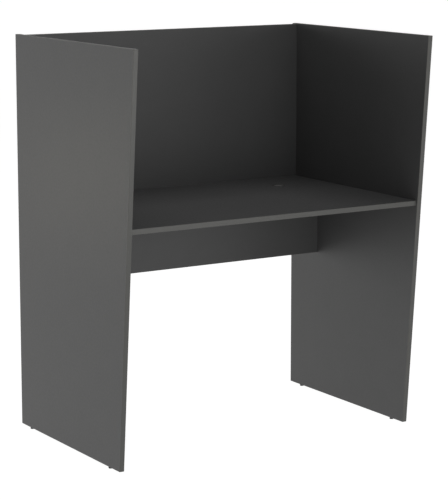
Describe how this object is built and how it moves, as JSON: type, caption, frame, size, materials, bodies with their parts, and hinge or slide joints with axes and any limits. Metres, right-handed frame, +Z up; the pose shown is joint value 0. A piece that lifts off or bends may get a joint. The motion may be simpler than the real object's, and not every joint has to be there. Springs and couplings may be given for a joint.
{
  "type": "booth desk",
  "caption": "Grey panel desk with tall leaning-fronted side panels, a rear screen, a modesty panel, a cable grommet and levelling feet.",
  "frame": {"origin": "on the floor, under the middle of the desk's box", "axes": "+X to the sitter's right, +Y to the back, +Z up"},
  "size_m": [1.08, 0.76, 1.28],
  "materials": {
    "graphite_melamine": "graphite grey melamine on chipboard, fine pearl texture",
    "graphite_edging": "graphite grey plastic edging, smooth satin",
    "zinc_cast": "die-cast zinc, bare",
    "zinc_plated_steel": "bright zinc plating on turned steel",
    "beech_dowel": "beech, fluted and unfinished",
    "cap_plastic": "moulded plastic in the board's colour",
    "grommet_plastic": "moulded dark grey plastic, fine spark texture",
    "foot_plastic": "black moulded plastic"
  },
  "bodies": {
    "desk": {"left_side_panel": "graphite_melamine", "right_side_panel": "graphite_melamine", "desktop": "graphite_melamine", "rear_screen": "graphite_melamine", "modesty_panel": "graphite_melamine", "left_front_edging": "graphite_edging", "left_top_edging": "graphite_edging", "left_rear_edging": "graphite_edging", "left_bottom_edging": "graphite_edging", "right_front_edging": "graphite_edging", "right_top_edging": "graphite_edging", "right_rear_edging": "graphite_edging", "right_bottom_edging": "graphite_edging", "desktop_front_edging": "graphite_edging", "desktop_rear_edging": "graphite_edging", "screen_top_edging": "graphite_edging", "modesty_bottom_edging": "graphite_edging", "desktop_cams": "zinc_cast", "screen_cams": "zinc_cast", "modesty_cams": "zinc_cast", "desktop_cam_bolts": "zinc_plated_steel", "screen_cam_bolts": "zinc_plated_steel", "modesty_cam_bolts": "zinc_plated_steel", "foot_inserts": "zinc_plated_steel", "desktop_dowels": "beech_dowel", "screen_dowels": "beech_dowel", "modesty_dowels": "beech_dowel", "screen_cam_caps": "cap_plastic", "modesty_cam_caps": "cap_plastic", "grommet_sleeve": "grommet_plastic"},
    "front_left_foot": {"front_left_foot_pad": "foot_plastic", "front_left_foot_stud": "zinc_plated_steel"},
    "rear_left_foot": {"rear_left_foot_pad": "foot_plastic", "rear_left_foot_stud": "zinc_plated_steel"},
    "front_right_foot": {"front_right_foot_pad": "foot_plastic", "front_right_foot_stud": "zinc_plated_steel"},
    "rear_right_foot": {"rear_right_foot_pad": "foot_plastic", "rear_right_foot_stud": "zinc_plated_steel"},
    "grommet_lid": {"grommet_lid": "grommet_plastic"}
  },
  "joints": [
    {"name": "front_left_foot_level", "type": "slide", "parent": "desk", "child": "front_left_foot", "axis": [0, 0, -1], "range_m": [0, 0.01]},
    {"name": "rear_left_foot_level", "type": "slide", "parent": "desk", "child": "rear_left_foot", "axis": [0, 0, -1], "range_m": [0, 0.01]},
    {"name": "front_right_foot_level", "type": "slide", "parent": "desk", "child": "front_right_foot", "axis": [0, 0, -1], "range_m": [0, 0.01]},
    {"name": "rear_right_foot_level", "type": "slide", "parent": "desk", "child": "rear_right_foot", "axis": [0, 0, -1], "range_m": [0, 0.01]},
    {"name": "grommet_lid_turn", "type": "hinge", "parent": "desk", "child": "grommet_lid", "pos_m": [0.337, 0.185, 0.753], "axis": [0, 0, 1], "continuous": true}
  ]
}
